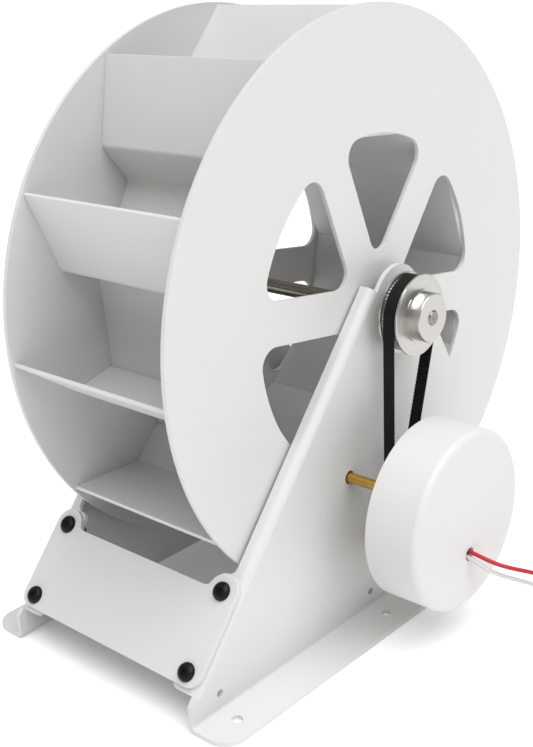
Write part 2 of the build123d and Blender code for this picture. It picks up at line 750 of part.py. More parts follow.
with BuildPart() as ring_screws:
    with BuildSketch(gen_plane(web_in - ring_plate_t)):
        with PolarLocations(standoff_pcd / 2, standoff_count, start_angle=standoff_start):
            Circle(ring_screw_head_d / 2)
    extrude(amount=-ring_screw_head_h)
    fillet(ring_screws.edges().group_by(Axis.Y)[-1], ring_screw_head_h / 2)
    with BuildSketch(gen_plane(web_in - ring_plate_t)):
        with PolarLocations(standoff_pcd / 2, standoff_count, start_angle=standoff_start):
            Circle(stud_d / 2)
    extrude(amount=ring_screw_len)
    with BuildSketch(gen_plane(web_in - ring_plate_t - ring_screw_head_h)):
        with PolarLocations(standoff_pcd / 2, standoff_count, start_angle=standoff_start):
            RegularPolygon(stud_d / 3, 6)
    extrude(amount=ring_screw_head_h * 0.7, mode=Mode.SUBTRACT)
save(ring_screws, "standoff_screws")

# ---------- generator: rotor shaft, bell, magnets and bearings
with BuildPart() as rotor_shaft:
    with BuildSketch(gen_plane(rotor_shaft_start)):
        Circle(rotor_shaft_d / 2)
    extrude(amount=rotor_shaft_end - rotor_shaft_start)
    chamfer(rotor_shaft.edges().filter_by(GeomType.CIRCLE), shaft_chamfer / 2)
save(rotor_shaft, "rotor_shaft")

with BuildPart() as rotor_bell:
    with BuildSketch(gen_plane(rotor_y)):
        Circle(rotor_od / 2)
    extrude(amount=rotor_len)
    with BuildSketch(gen_plane(rotor_y + rotor_web_t)):
        Circle(rotor_od / 2 - rotor_wall)
        Circle(rotor_hub_d / 2, mode=Mode.SUBTRACT)
    extrude(amount=rotor_len - rotor_web_t, mode=Mode.SUBTRACT)
    with BuildSketch(gen_plane(rotor_y + rotor_web_t + rotor_hub_len)):
        Circle(rotor_hub_d / 2)
    extrude(amount=rotor_len - rotor_web_t - rotor_hub_len, mode=Mode.SUBTRACT)
    with BuildSketch(gen_plane(rotor_y)):
        Circle(rotor_shaft_d / 2)
        with PolarLocations((rotor_hub_d + rotor_od) / 4, 6):
            Circle(rotor_vent_d / 2)
    extrude(amount=rotor_len, mode=Mode.SUBTRACT)
save(rotor_bell, "rotor_bell")

with BuildPart() as magnets:
    with BuildSketch(gen_plane(rotor_y + rotor_web_t + magnet_inset)):
        Circle(rotor_od / 2 - rotor_wall)
        Circle(rotor_od / 2 - rotor_wall - magnet_t, mode=Mode.SUBTRACT)
        with PolarLocations(rotor_od / 2 - rotor_wall, magnet_count, start_angle=180 / magnet_count):
            Rectangle(4 * magnet_t, magnet_space, mode=Mode.SUBTRACT)
    extrude(amount=rotor_len - rotor_web_t - 2 * magnet_inset)
save(magnets, "rotor_magnets")


def bearing_ring(y, outer_r, inner_r):
    with BuildPart() as ring:
        with BuildSketch(gen_plane(y)):
            Circle(outer_r)
            Circle(inner_r, mode=Mode.SUBTRACT)
        extrude(amount=bearing_w)
    return ring.part


bearing_starts = (back_plate_out - bearing_boss_h, gen_inner_face - bearing_w)
ball_ring_r = (bearing_d + rotor_shaft_d) / 4
with BuildPart() as outer_rings:
    for start_y in bearing_starts:
        add(bearing_ring(start_y, bearing_d / 2, bearing_d / 2 - bearing_ring_t))
save(outer_rings, "bearing_outer_rings")
with BuildPart() as inner_rings:
    for start_y in bearing_starts:
        add(bearing_ring(start_y, rotor_shaft_d / 2 + bearing_ring_t, rotor_shaft_d / 2))
save(inner_rings, "bearing_inner_rings")
with BuildPart() as balls:
    for start_y in bearing_starts:
        with Locations(gen_plane(start_y + bearing_w / 2)):
            with PolarLocations(ball_ring_r, ball_count):
                Sphere(ball_d / 2)
save(balls, "bearing_balls")

# ---------- generator: stator on its post inside the housing's front wall
with BuildPart() as stator_post:
    with BuildSketch(gen_plane(stator_y)):
        Circle(stator_bore_d / 2)
    extrude(amount=gen_inner_face - stator_y)
    with BuildSketch(gen_plane(gen_inner_face - post_flange_t)):
        Circle(post_flange_d / 2)
    extrude(amount=post_flange_t)
    with BuildSketch(gen_plane(stator_y)):
        Circle(post_bore_d / 2)
    extrude(amount=gen_inner_face - stator_y, mode=Mode.SUBTRACT)
    with BuildSketch(gen_plane(gen_inner_face - bearing_w)):
        Circle(bearing_d / 2)
    extrude(amount=bearing_w, mode=Mode.SUBTRACT)
save(stator_post, "stator_post")

ring_out_r = stator_bore_d / 2 + stator_ring_t
with BuildPart() as stator_core:
    with BuildSketch(gen_plane(stator_y)):
        Circle(stator_r)
        Circle(stator_r - tooth_tip_t, mode=Mode.SUBTRACT)
        with PolarLocations(stator_r, stator_teeth, start_angle=180 / stator_teeth):
            Rectangle(4 * tooth_tip_t, slot_w, mode=Mode.SUBTRACT)
        with PolarLocations(0, stator_teeth):
            with Locations((stator_r / 2, 0)):
                Rectangle(stator_r - tooth_tip_t / 2, tooth_w)
        Circle(ring_out_r)
        Circle(stator_bore_d / 2, mode=Mode.SUBTRACT)
    extrude(amount=stator_len)
save(stator_core, "stator_core")

with BuildPart() as coils:
    with BuildSketch(gen_plane(stator_y - coil_end)):
        with PolarLocations(0, stator_teeth):
            with Locations(((coil_in_r + coil_out_r) / 2, 0)):
                Rectangle(coil_out_r - coil_in_r, tooth_w + 2 * coil_t)
    extrude(amount=stator_len + 2 * coil_end)
    with BuildSketch(gen_plane(stator_y)):
        with PolarLocations(0, stator_teeth):
            with Locations(((coil_in_r + coil_out_r) / 2, 0)):
                Rectangle(coil_out_r - coil_in_r, tooth_w)
    extrude(amount=stator_len, mode=Mode.SUBTRACT)
save(coils, "stator_coils")

# ---------- generator pulley and the toothed belt
small_centre = (shaft_x + gen_x, shaft_h + gen_z)
with BuildPart() as small_pulley:
    odd_turn = (belt_teeth % 2) * 180 / small_teeth
    add(toothed_pulley(small_centre, small_tip_r, small_teeth, line_angle + odd_turn, small_flange_d))
    with BuildSketch(gen_plane(pulley_out)):
        Circle(small_hub_d / 2)
    extrude(amount=small_hub_len)
    with BuildSketch(gen_plane(pulley_in)):
        Circle(rotor_shaft_d / 2)
    extrude(amount=pulley_len + small_hub_len, mode=Mode.SUBTRACT)
    small_screw_y = -pulley_out - small_hub_len / 2
    with BuildSketch(Plane.XY.offset(small_centre[1])):
        with Locations((small_centre[0], small_screw_y)):
            Circle(small_screw_d / 2)
    extrude(amount=small_hub_d, mode=Mode.SUBTRACT)
save(small_pulley, "generator_pulley")

with BuildPart() as small_pulley_screw:
    with BuildSketch(Plane.XY.offset(small_centre[1] + rotor_shaft_d / 2)):
        with Locations((small_centre[0], small_screw_y)):
            Circle(small_screw_d / 2)
    extrude(amount=(small_hub_d - rotor_shaft_d) / 2 - set_screw_sink / 2)
save(small_pulley_screw, "generator_pulley_screw")

with BuildPart() as pulley_screws:
    for out in ((0, 0, -1), (1, 0, 0)):
        side_x = Vector(*out).cross(Vector(0, 1, 0))
        tip = Vector(shaft_x, set_screw_y, shaft_h) + Vector(*out) * (shaft_d / 2)
        top = Vector(shaft_x, set_screw_y, shaft_h) + Vector(*out) * (big_hub_d / 2 - set_screw_sink)
        with BuildSketch(Plane(origin=tip, x_dir=side_x, z_dir=out)):
            Circle(set_screw_d / 2)
        extrude(amount=big_hub_d / 2 - shaft_d / 2 - set_screw_sink)
        with BuildSketch(Plane(origin=top, x_dir=side_x, z_dir=out)):
            RegularPolygon(set_screw_key_r, 6)
        extrude(amount=-set_screw_key_deep, mode=Mode.SUBTRACT)
save(pulley_screws, "drive_pulley_screws")

# the belt: two wraps and two straight runs; the teeth that stand in the pulleys' grooves are left
# out, because the belt stays still while the pulleys turn
tangent = math.degrees(math.acos((big_tip_r - small_tip_r) / centre_gap))
big_wrap = math.radians(180 - tangent) * big_pitch_r
straight = centre_gap * math.sin(math.radians(tangent))
line_dir = Vector(*polar(1, line_angle))


def run_point(sign, run, outside):
    """Point on one straight run of the belt, from its start at the big pulley.

    outside is the distance outside the line of the tooth tips; the result is from the shaft."""
    out = Vector(*polar(1, line_angle + sign * tangent))
    along = Vector(*polar(1, line_angle + sign * (tangent - 90)))
    return out * (big_tip_r + outside) + along * run


def belt_loop(extra):
    """Closed loop a distance outside the pulleys' tooth tips."""
    with BuildSketch() as loop:
        with BuildLine():
            big_r = big_tip_r + extra
            small_r = small_tip_r + extra
            starts = []
            for sign in (1, -1):
                out = Vector(*polar(1, line_angle + sign * tangent))
                starts.append((out * big_r, line_dir * centre_gap + out * small_r))
            ThreePointArc(starts[0][0], line_dir * -big_r, starts[1][0])
            Line(starts[1][0], starts[1][1])
            ThreePointArc(starts[1][1], line_dir * (centre_gap + small_r), starts[0][1])
            Line(starts[0][1], starts[0][0])
        make_face()
    return loop.sketch


tooth_points = []
for sign in (1, -1):
    first = math.ceil((big_wrap + tooth_free) / tooth_pitch)
    last = math.floor((big_wrap + straight - tooth_free) / tooth_pitch)
    for tooth in range(first, last + 1):
        tooth_points.append(run_point(sign, tooth * tooth_pitch - big_wrap, -groove_set))
with BuildPart() as belt:
    with BuildSketch(across(-pulley_y + belt_w / 2)):
        add(belt_loop(mesh_gap + belt_back_t))
        add(belt_loop(mesh_gap), mode=Mode.SUBTRACT)
        with Locations([(point.X, point.Y) for point in tooth_points]):
            Circle(groove_r - tooth_slack)
    extrude(amount=belt_w)
save(belt, "drive_belt")


# ---------- leads
def corner_radii(route):
    """The largest arc that each corner of a route has room for."""
    points = [Vector(*point) for point in route]
    radii = []
    for before, corner, after in zip(points, points[1:], points[2:]):
        turn = math.radians((corner - before).get_angle(after - corner))
        run = min((corner - before).length, (after - corner).length)
        radii.append(0.45 * run / math.tan(turn / 2))
    return radii


def moved_route(route):
    """The route, moved with the lead hole and stretched down to the floor."""
    hole = (shaft_x + gen_x + lead_hole_side, -gen_front_y, shaft_h + gen_z - lead_hole_drop)
    lift = hole[2] - lead_home[2]
    drop = (hole[2] - lead_rest_z) / (lead_home[2] - lead_rest_z)
    moved = []
    for x, y, z in route:
        if z > lead_home[2] - lead_straight_z:
            height = z + lift
        else:
            height = lead_rest_z + (z - lead_rest_z) * drop
        moved.append((x + hole[0] - lead_home[0], y + hole[1] - lead_home[1], height))
    return moved


for name, route in (("red_lead", red_route), ("white_lead", white_route)):
    route = moved_route(route)
    radii = corner_radii(route)
    with BuildPart() as lead:
        with BuildLine() as path:
            FilletPolyline(*route, radius=radii)
        with BuildSketch(Plane(origin=path.wires()[0] @ 0, z_dir=path.wires()[0] % 0)):
            Circle(lead_d / 2)
        sweep()
    length = path.wires()[0].length
    section = math.pi * lead_d**2 / 4
    print(name, "length", round(length, 1), "radii", [round(radius, 1) for radius in radii])
    print(name, "volume over section times length", round(lead.part.volume / (section * length), 4))
    save(lead, name)
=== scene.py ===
# %% [markdown]
# A small water wheel that drives a generator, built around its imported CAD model.
# The CAD model is the frame: it says where everything is and what turns on what. This
# lesson adds what a maker would see on the bench: the camera and light of a product
# picture, powder-coated sheet metal with softened edges, a turned pulley, a toothed belt,
# brass rods and two soft leads. Every length is in metres.

# %% Load the frame
import json
import math
import bmesh
import bpy
from mathutils import Matrix, Vector

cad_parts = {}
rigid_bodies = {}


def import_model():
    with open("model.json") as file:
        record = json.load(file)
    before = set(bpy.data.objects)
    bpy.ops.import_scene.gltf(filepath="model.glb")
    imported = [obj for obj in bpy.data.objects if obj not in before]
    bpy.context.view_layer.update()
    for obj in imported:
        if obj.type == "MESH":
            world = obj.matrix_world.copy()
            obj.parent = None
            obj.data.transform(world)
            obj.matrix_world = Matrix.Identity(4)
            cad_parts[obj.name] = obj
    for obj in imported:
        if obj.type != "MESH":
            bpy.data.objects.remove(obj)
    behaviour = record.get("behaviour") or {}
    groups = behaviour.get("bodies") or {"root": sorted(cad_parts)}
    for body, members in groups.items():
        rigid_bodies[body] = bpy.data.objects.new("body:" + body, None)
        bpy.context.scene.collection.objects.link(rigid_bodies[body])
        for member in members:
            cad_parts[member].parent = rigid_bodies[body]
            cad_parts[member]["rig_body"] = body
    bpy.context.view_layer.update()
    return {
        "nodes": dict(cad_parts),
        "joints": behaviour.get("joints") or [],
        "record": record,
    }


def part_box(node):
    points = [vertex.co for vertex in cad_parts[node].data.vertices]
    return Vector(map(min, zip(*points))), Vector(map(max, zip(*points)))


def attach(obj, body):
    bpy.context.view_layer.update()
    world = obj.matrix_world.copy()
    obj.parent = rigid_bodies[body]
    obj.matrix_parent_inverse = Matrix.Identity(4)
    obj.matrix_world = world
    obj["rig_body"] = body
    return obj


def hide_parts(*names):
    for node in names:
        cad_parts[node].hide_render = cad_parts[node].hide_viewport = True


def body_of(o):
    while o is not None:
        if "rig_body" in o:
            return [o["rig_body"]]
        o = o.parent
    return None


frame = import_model()
joints = {joint["name"]: joint for joint in frame["joints"]}
wheel_x, _, wheel_z = joints["wheel_spin"]["pos_m"]
rotor_x, _, rotor_z = joints["rotor_spin"]["pos_m"]
scene = bpy.context.scene

# %% [markdown]
# The camera comes first, because the loose ends of the leads have to stay in or out of its
# view. It stands to the left of the generator side and looks down a little. Three plain
# rotations say that: a turn about the upright axis, a tilt, and a slight lean of the head.

# %% Camera
camera_place = (-0.4281, -0.3964, 0.3390)
camera_turn = -48.16
camera_tilt = 19.67
camera_lean = -1.89
camera_data = bpy.data.cameras.new("camera")
camera_data.sensor_width = 36.0
camera_data.lens = 55.7
camera_data.clip_start = 0.01
camera = bpy.data.objects.new("camera", camera_data)
scene.collection.objects.link(camera)
camera.matrix_world = (
    Matrix.Translation(camera_place)
    @ Matrix.Rotation(math.radians(camera_turn), 4, "Z")
    @ Matrix.Rotation(math.radians(90 - camera_tilt), 4, "X")
    @ Matrix.Rotation(math.radians(camera_lean), 4, "Z")
)
scene.camera = camera
print("camera at", camera_place, "lens", camera_data.lens)

# %% [markdown]
# Shader maths reads best as arithmetic. This small class holds one socket of a material's
# node tree. Adding and multiplying, from either side, make Math nodes, so that
# cloud * 0.75 + speck * 0.25 is written just so. The method called node makes every other
# node: a type, the settings that are set first, and then the values or links of its
# sockets. The rest are short names for the few nodes that the finishes need again.

# %% A socket with arithmetic
class Value:
    def __init__(self, tree, socket):
        self.tree = tree
        self.socket = socket

    def node(self, kind, settings, sockets, output=0):
        made = self.tree.nodes.new(kind)
        for name, setting in settings.items():
            setattr(made, name, setting)
        for name, value in sockets.items():
            if isinstance(value, Value):
                self.tree.links.new(value.socket, made.inputs[name])
            else:
                made.inputs[name].default_value = value
        return Value(self.tree, made.outputs[output])

    def math(self, operation, first, second=0.0):
        return self.node("ShaderNodeMath", {"operation": operation}, {0: first, 1: second})

    def __add__(self, other):
        return self.math("ADD", self, other)

    def __radd__(self, other):
        return self.math("ADD", other, self)

    def __mul__(self, other):
        return self.math("MULTIPLY", self, other)

    def __rmul__(self, other):
        return self.math("MULTIPLY", other, self)

    def vector(self, operation, other):
        return self.node("ShaderNodeVectorMath", {"operation": operation}, {0: self, 1: other})

    def part(self, axis):
        """One coordinate of a vector: 0, 1 or 2."""
        return self.node("ShaderNodeSeparateXYZ", {}, {0: self}, output=axis)

    def noise(self, scale, detail=2.0, roughness=0.5):
        sockets = {"Vector": self, "Scale": scale, "Detail": detail, "Roughness": roughness}
        return self.node("ShaderNodeTexNoise", {}, sockets)

    def between(self, low, high):
        """This 0 to 1 value stretched to run from low to high."""
        return self * (high - low) + low

    def blend(self, first, second):
        """A colour between two others, by this value."""
        sockets = {0: self, 6: first, 7: second}
        return self.node("ShaderNodeMix", {"data_type": "RGBA"}, sockets, output=2)

    def bump(self, strength, distance):
        sockets = {"Height": self, "Strength": strength, "Distance": distance}
        return self.node("ShaderNodeBump", {}, sockets)


def color(red, green, blue):
    return (red, green, blue, 1.0)


def finish(name, varying, **constants):
    """A material: constants sit on the shader's sockets, varying(place) gives the links."""
    material = bpy.data.materials.new(name)
    material.use_nodes = True
    tree = material.node_tree
    shader = tree.nodes["Principled BSDF"]
    for key, value in constants.items():
        shader.inputs[key.replace("_", " ")].default_value = value
    coordinates = tree.nodes.new("ShaderNodeTexCoord")
    place = Value(tree, coordinates.outputs["Object"])
    for key, value in varying(place).items():
        tree.links.new(value.socket, shader.inputs[key])
    return material


print("shader helper ready")

# %% [markdown]
# Powder coat is plastic baked on metal. From close by it has a faint orange peel, from
# further off it is an even white that is a touch warmer or cooler here and there, and its
# gloss is soft. Two noises do the tone and the gloss, a third, very fine, does the peel.

# %% Powder coat and white plastic
def powder_coat(name, light, shade, peel_scale, peel):
    def varying(place):
        cloud = place.noise(14.0, 3.0)
        speck = place.noise(1900.0, 1.0)
        grain = place.noise(peel_scale, 2.0)
        tone = cloud * 0.75 + speck * 0.25
        return {
            "Base Color": tone.blend(color(*shade), color(*light)),
            "Roughness": place.noise(60.0, 2.0).between(0.36, 0.52),
            "Normal": grain.bump(peel, 0.0002),
        }

    return finish(name, varying, Specular_IOR_Level=0.42)


coat_light, coat_shade = (0.640, 0.635, 0.622), (0.605, 0.601, 0.591)
plastic_light, plastic_shade = (0.64, 0.635, 0.625), (0.62, 0.616, 0.607)
white_coat = powder_coat("white_powder_coat", coat_light, coat_shade, 1300.0, 0.10)
white_plastic = powder_coat("white_moulded_plastic", plastic_light, plastic_shade, 2600.0, 0.05)
print("white finishes:", white_coat.name, white_plastic.name)

# %% [markdown]
# Metal shows how it was worked. A turned piece has fine rings about its own axis, a drawn
# or ground bar has lines along its length. Both are one noise on stretched coordinates:
# for rings the noise reads the distance from the axis, for lines it hardly changes along
# the bar. The lines move the roughness and the bump together, as real scratches do.

# %% Metals
def turned(name, axis_x, axis_z, light, dark, roughness):
    """Metal turned about an axis along Y."""

    def varying(place):
        centred = place.vector("SUBTRACT", (axis_x, 0.0, axis_z))
        flat = centred.vector("MULTIPLY", (1.0, 0.0, 1.0))
        radius = flat.node("ShaderNodeVectorMath", {"operation": "LENGTH"}, {0: flat}, output=1)
        ring = place.node("ShaderNodeCombineXYZ", {}, {0: radius, 1: place.part(1), 2: 0.0})
        fine = ring.noise(5200.0, 2.0)
        broad = ring.noise(900.0, 1.0)
        lines = fine * 0.65 + broad * 0.35
        return {
            "Base Color": lines.blend(color(*dark), color(*light)),
            "Roughness": lines.between(roughness - 0.09, roughness + 0.13),
            "Normal": lines.bump(0.10, 0.0001),
        }

    return finish(name, varying, Metallic=1.0, Anisotropic=0.4)


def drawn(name, light, dark, roughness, lines_scale=2600.0):
    """Metal with fine lines along Y."""

    def varying(place):
        stretched = place.vector("MULTIPLY", (1.0, 0.012, 1.0))
        lines = stretched.noise(lines_scale, 2.0)
        stain = place.noise(70.0, 2.0)
        return {
            "Base Color": (lines * 0.6 + stain * 0.4).blend(color(*dark), color(*light)),
            "Roughness": lines.between(roughness - 0.07, roughness + 0.12),
            "Normal": lines.bump(0.12, 0.0001),
        }

    return finish(name, varying, Metallic=1.0)


def plated(name, light, dark, roughness, grain=420.0):
    """Bright plating: slightly cloudy, with a very fine grain."""

    def varying(place):
        cloud = place.noise(grain, 3.0)
        return {
            "Base Color": cloud.blend(color(*dark), color(*light)),
            "Roughness": place.noise(grain * 3, 2.0).between(roughness - 0.06, roughness + 0.1),
            "Normal": place.noise(grain * 6, 2.0).bump(0.05, 0.0001),
        }

    return finish(name, varying, Metallic=1.0)


pulley_light, pulley_dark = (0.60, 0.59, 0.565), (0.40, 0.39, 0.37)
small_light, small_dark = (0.64, 0.63, 0.61), (0.46, 0.45, 0.43)
pulley_metal = turned("turned_aluminium", wheel_x, wheel_z, pulley_light, pulley_dark, 0.30)
small_pulley_metal = turned("turned_aluminium_small", rotor_x, rotor_z, small_light, small_dark, 0.28)
shaft_metal = drawn("ground_steel", (0.34, 0.31, 0.27), (0.20, 0.185, 0.165), 0.26)
brass = drawn("drawn_brass", (0.66, 0.42, 0.10), (0.44, 0.26, 0.06), 0.24, 1800.0)
zinc = plated("zinc_plate", (0.74, 0.75, 0.77), (0.60, 0.61, 0.63), 0.30)
nickel = plated("nickel_plate", (0.78, 0.76, 0.72), (0.68, 0.66, 0.62), 0.18)
print("metals:", pulley_metal.name, shaft_metal.name, brass.name, zinc.name, nickel.name)

# %% [markdown]
# The dark finishes are nearly black, so what tells them apart is gloss. Black oxide on a
# screw is a thin, slightly oily skin with bright metal just under it at worn spots. The
# belt is cast rubber with a fine fabric facing. The bushes are graphite-filled plastic.

# %% Dark finishes
def oxide(place):
    wear = place.noise(900.0, 3.0)
    return {
        "Base Color": wear.blend(color(0.004, 0.004, 0.004), color(0.012, 0.012, 0.012)),
        "Roughness": wear.between(0.20, 0.38),
        "Normal": place.noise(2600.0, 2.0).bump(0.08, 0.0001),
    }


def belt_rubber(place):
    cloth = place.noise(3200.0, 1.0)
    dust = place.noise(160.0, 3.0)
    return {
        "Base Color": dust.blend(color(0.004, 0.004, 0.004), color(0.012, 0.012, 0.012)),
        "Roughness": cloth.between(0.55, 0.82),
        "Normal": cloth.bump(0.25, 0.0001),
    }


def graphite_plastic(place):
    grain = place.noise(1500.0, 2.0)
    return {
        "Base Color": grain.blend(color(0.05, 0.05, 0.052), color(0.09, 0.09, 0.092)),
        "Roughness": grain.between(0.42, 0.6),
        "Normal": grain.bump(0.1, 0.0001),
    }


black_oxide = finish("black_oxide", oxide, Metallic=0.0, Specular_IOR_Level=0.16)
belt_black = finish("belt_rubber", belt_rubber, Specular_IOR_Level=0.15)
bush_plastic = finish("graphite_plastic", graphite_plastic)
print("dark finishes:", black_oxide.name, belt_black.name, bush_plastic.name)

# %% [markdown]
# The hidden pieces of the generator get their real finishes too, so that the model can be
# opened: copper coils show their wound wire, the core shows its stacked steel sheets. Both
# patterns are waves on one coordinate, with a little noise so that no turn is like the next.

# %% Windings, core and lead insulation
def copper_wire(place):
    wobble = place.noise(300.0, 2.0) * 0.4
    turns = place.math("SINE", place.part(1) * 9000.0 + wobble)
    mask = turns.between(0.3, 0.7)
    return {
        "Base Color": mask.blend(color(0.36, 0.12, 0.045), color(0.74, 0.30, 0.12)),
        "Roughness": mask.between(0.42, 0.26),
        "Normal": mask.bump(0.5, 0.0002),
    }


def steel_stack(place):
    sheets = place.math("SINE", place.part(1) * 12500.0)
    mask = sheets.between(0.3, 0.7)
    return {
        "Base Color": mask.blend(color(0.09, 0.09, 0.10), color(0.30, 0.30, 0.32)),
        "Roughness": place.noise(600.0).between(0.35, 0.6),
        "Normal": mask.bump(0.3, 0.0001),
    }


def insulation(light, dark):
    def varying(place):
        bloom = place.noise(220.0, 3.0)
        return {
            "Base Color": bloom.blend(color(*dark), color(*light)),
            "Roughness": bloom.between(0.34, 0.5),
            "Normal": place.noise(2400.0, 1.0).bump(0.06, 0.0001),
        }

    return varying


coil_copper = finish("copper_wire", copper_wire, Metallic=0.85)
core_steel = finish("steel_stack", steel_stack, Metallic=0.9)
red_silicone = finish("red_silicone", insulation((0.47, 0.006, 0.022), (0.38, 0.004, 0.016)))
white_silicone = finish("white_silicone", insulation((0.60, 0.60, 0.59), (0.53, 0.53, 0.52)))
print("inner finishes and insulation ready")

# %% [markdown]
# The leads are soft wires of one fixed length. They come straight out of the hole in the
# generator, swing to the right and drop to the floor, where the rest lies in a loose curl
# just out of view. A NURBS spline through a few chosen control points bends as evenly as
# real wire does, and its round section comes from the curve's bevel.

# %% Leads
lead_diameter = 0.0022
red_route = [
    (26.3, -120.5, 53.9), (26.1, -129.5, 53.0), (28.0, -137.5, 50.6), (32.5, -144.0, 48.2),
    (39.5, -149.5, 45.2), (48.5, -155.0, 40.5), (57.5, -162.0, 31.5), (64.5, -170.0, 19.5),
    (70.5, -179.0, 8.0), (79.0, -188.0, 1.6), (91.5, -193.5, 1.4), (104.5, -191.0, 1.5),
    (113.5, -181.5, 1.4), (115.0, -168.5, 1.5), (108.0, -157.0, 1.4), (96.0, -150.5, 1.5),
    (83.0, -148.5, 1.4),
]
white_route = [
    (24.8, -120.5, 51.6), (24.7, -127.5, 50.2), (25.8, -134.0, 47.2), (30.0, -140.0, 43.8),
    (36.5, -145.5, 40.4), (44.5, -150.5, 36.0), (52.5, -156.5, 28.5), (59.0, -163.5, 18.5),
    (65.0, -171.5, 8.5), (73.5, -179.5, 1.8), (86.0, -184.0, 1.4), (97.5, -180.5, 1.5),
    (103.0, -170.5, 1.4), (98.5, -161.0, 1.5), (87.5, -158.5, 1.4), (75.5, -158.0, 1.5),
]


def make_lead(name, node, route, length, material):
    curve = bpy.data.curves.new(name, "CURVE")
    curve.dimensions = "3D"
    curve.bevel_depth = lead_diameter / 2
    curve.bevel_resolution = 6
    curve.resolution_u = 10
    curve.use_fill_caps = True
    spline = curve.splines.new("NURBS")
    spline.points.add(len(route) - 1)
    for point, (x, y, z) in zip(spline.points, route):
        point.co = (x / 1000, y / 1000, z / 1000, 1.0)
    spline.order_u = 3
    spline.use_endpoint_u = True
    curve.materials.append(material)
    lead = bpy.data.objects.new(name, curve)
    scene.collection.objects.link(lead)
    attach(lead, "frame")
    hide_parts(node)
    print(name, "length", length)
    return lead


make_lead("red_wire", "red_lead", red_route, 0.197, red_silicone)
make_lead("white_wire", "white_lead", white_route, 0.163, white_silicone)

# %% [markdown]
# Product light is large and soft. The floor and the world are nearly white, and one very
# wide sun, high and a little to the belt side, gives the gentle shading of the sheet metal.
# The floor glows faintly, so that it keeps only the soft shadow under the object.

# %% Floor and light
sky_lamp = bpy.data.lights.new("ceiling", "SUN")
sky_lamp.energy = 3.25
sky_lamp.angle = math.radians(70.0)
ceiling = bpy.data.objects.new("ceiling", sky_lamp)
scene.collection.objects.link(ceiling)
ceiling.matrix_world = Vector((0.10, 0.33, -0.93)).to_track_quat("-Z", "Y").to_matrix().to_4x4()

world = bpy.data.worlds.new("studio")
scene.world = world
world.use_nodes = True
world.node_tree.nodes["Background"].inputs["Color"].default_value = (1.0, 1.0, 1.0, 1.0)
world.node_tree.nodes["Background"].inputs["Strength"].default_value = 0.42

floor_mesh = bmesh.new()
bmesh.ops.create_grid(floor_mesh, x_segments=1, y_segments=1, size=60.0)
floor_data = bpy.data.meshes.new("floor")
floor_mesh.to_mesh(floor_data)
floor_mesh.free()
floor = bpy.data.objects.new("floor", floor_data)
scene.collection.objects.link(floor)


def paper(place):
    tone = place.noise(3.0, 2.0)
    return {"Base Color": tone.blend(color(0.93, 0.93, 0.93), color(0.95, 0.95, 0.95))}


paper_white = finish(
    "floor_paper",
    paper,
    Roughness=0.9,
    Specular_IOR_Level=0.1,
    Emission_Color=color(1.0, 1.0, 1.0),
    Emission_Strength=0.12,
)
floor_data.materials.append(paper_white)
scene.view_settings.view_transform = "Standard"
print("stage set")

# %% [markdown]
# Most of the shapes here are flat sheets with straight and round edges. A pen that draws
# in the plane of the wheel keeps them simple: it goes to a point, draws a straight stroke,
# or swings round a centre. The swing is the spin operator on the last point.

# %% A pen for outlines
def wheel_point(x, z, y):
    """A point given from the wheel's axis, in the wheel's own plane at depth y."""
    return Vector((wheel_x + x, y, wheel_z + z))


class Pen:
    def __init__(self, bm, y, centre=(0.0, 0.0)):
        self.bm = bm
        self.y = y
        self.centre = Vector(centre)
        self.first = None
        self.last = None

    def place(self, point):
        return wheel_point(self.centre.x + point[0], self.centre.y + point[1], self.y)

    def start(self, point):
        self.first = self.bm.verts.new(self.place(point))
        self.last = self.first
        return self

    def line(self, point):
        following = self.bm.verts.new(self.place(point))
        self.bm.edges.new((self.last, following))
        self.last = following
        return self

    def swing(self, about, degrees, steps):
        """An arc about a centre; positive degrees turn from +X towards +Z."""
        swept = bmesh.ops.spin(
            self.bm,
            geom=[self.last],
            cent=self.place(about),
            axis=(0, -1, 0),
            angle=math.radians(degrees),
            steps=steps,
            use_merge=False,
        )
        self.last = [part for part in swept["geom_last"] if isinstance(part, bmesh.types.BMVert)][0]
        return self

    def close(self):
        if (self.last.co - self.first.co).length > 1e-6:
            self.bm.edges.new((self.last, self.first))
        else:
            bmesh.ops.remove_doubles(self.bm, verts=[self.last, self.first], dist=1e-6)
        return self


def turn(point, degrees):
    angle = math.radians(degrees)
    x, z = point
    return (x * math.cos(angle) - z * math.sin(angle), x * math.sin(angle) + z * math.cos(angle))


def polar(radius, degrees):
    return turn((radius, 0.0), degrees)


print("pen ready")

# %% [markdown]
# A flat outline becomes a piece in three steps: fill it between its edges, pull the face
# through the sheet's thickness, and break the sharp edges a little, because powder coat
# rounds every corner and that thin bright line is what the eye reads as real sheet metal.
# The last helper names the piece, gives it a finish and says which body it rides on.

# %% From outline to piece
def fill_and_thicken(bm, thickness, direction):
    """Fills all outlines, holes left open, and pulls the face along a direction."""
    filled = bmesh.ops.triangle_fill(bm, use_beauty=True, use_dissolve=False, edges=bm.edges[:])
    faces = [part for part in filled["geom"] if isinstance(part, bmesh.types.BMFace)]
    pulled = bmesh.ops.extrude_face_region(bm, geom=faces, use_keep_orig=True)
    moved = [part for part in pulled["geom"] if isinstance(part, bmesh.types.BMVert)]
    bmesh.ops.translate(bm, verts=moved, vec=Vector(direction) * thickness)
    bmesh.ops.recalc_face_normals(bm, faces=bm.faces[:])


def soften(bm, width, segments=2, sharper_than=35.0):
    """Rounds every edge that is sharper than an angle."""
    sharp = [
        edge
        for edge in bm.edges
        if edge.is_manifold and edge.calc_face_angle(0.0) > math.radians(sharper_than)
    ]
    bmesh.ops.bevel(
        bm,
        geom=sharp,
        offset=width,
        offset_type="OFFSET",
        segments=segments,
        profile=0.5,
        affect="EDGES",
        clamp_overlap=True,
        material=-1,
    )


